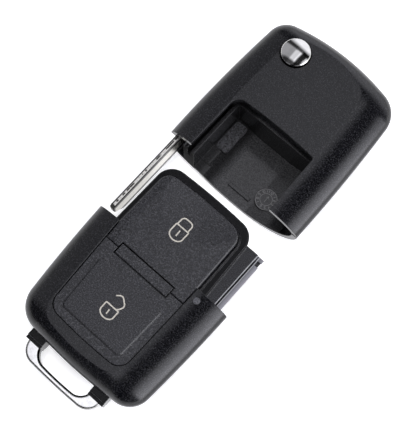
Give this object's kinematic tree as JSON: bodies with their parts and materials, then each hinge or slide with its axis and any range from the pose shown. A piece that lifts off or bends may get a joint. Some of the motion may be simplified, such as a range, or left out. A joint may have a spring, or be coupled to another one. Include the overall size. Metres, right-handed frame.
{
  "type": "flip key remote shell",
  "caption": "Empty two-part shell of a folding car key: a head with a folded uncut blade and a remote half with lock and unlock pads, shown pulled apart.",
  "frame": {"origin": "centre of the bounding box at its lowest face, on the surface that the key's rounded back rests on", "axes": "+Y along the key from the key-ring loop to the crown of the head, +X across it away from the folded blade, +Z out of the button face"},
  "size_m": [0.0373, 0.0984, 0.0175],
  "materials": {
    "shell_plastic": "fine grained black",
    "frame_plastic": "smooth black",
    "pad_plastic": "fine grained charcoal",
    "carrier_plastic": "glossy black",
    "chip_cover": "coarse grained",
    "membrane": "matte",
    "light_pipe": "satin grey",
    "blade_steel": "cross-brushed nickel silver",
    "hub_metal": "cast, dull",
    "steel": "plain",
    "chrome": "bright plated"
  },
  "bodies": {
    "remote": {"remote_back_shell": "shell_plastic", "remote_front_shell": "shell_plastic", "tongue_frame": "frame_plastic", "tongue_tray": "shell_plastic", "button_membrane": "membrane", "centre_bar": "pad_plastic", "led_lens": "light_pipe", "ring_carrier": "carrier_plastic", "keyring_loop": "chrome"},
    "lock_pad": {"lock_button": "pad_plastic"},
    "unlock_pad": {"unlock_button": "pad_plastic"},
    "head": {"head_back_shell": "shell_plastic", "head_front_shell": "shell_plastic", "chip_pocket_cover": "chip_cover", "head_screw": "steel"},
    "blade": {"key_blade": "blade_steel", "blade_pin": "steel", "blade_hub": "hub_metal", "flip_spring": "steel"},
    "release": {"release_button": "chrome"}
  },
  "joints": [
    {"name": "head_slide", "type": "slide", "parent": "remote", "child": "head", "axis": [0, -1, 0], "range_m": [0, 0.02315]},
    {"name": "blade_flip", "type": "hinge", "parent": "head", "child": "blade", "pos_m": [-0.009, 0.04102, 0.0073], "axis": [0, 0, -1], "range_deg": [0, 180]},
    {"name": "release_press", "type": "slide", "parent": "head", "child": "release", "axis": [0, 0, -1], "range_m": [0, 0.0017], "stiffness_N_per_m": 1200},
    {"name": "lock_press", "type": "slide", "parent": "remote", "child": "lock_pad", "axis": [0, 0, -1], "range_m": [0, 0.0006], "stiffness_N_per_m": 3000},
    {"name": "unlock_press", "type": "slide", "parent": "remote", "child": "unlock_pad", "axis": [0, 0, -1], "range_m": [0, 0.0006], "stiffness_N_per_m": 3000}
  ]
}
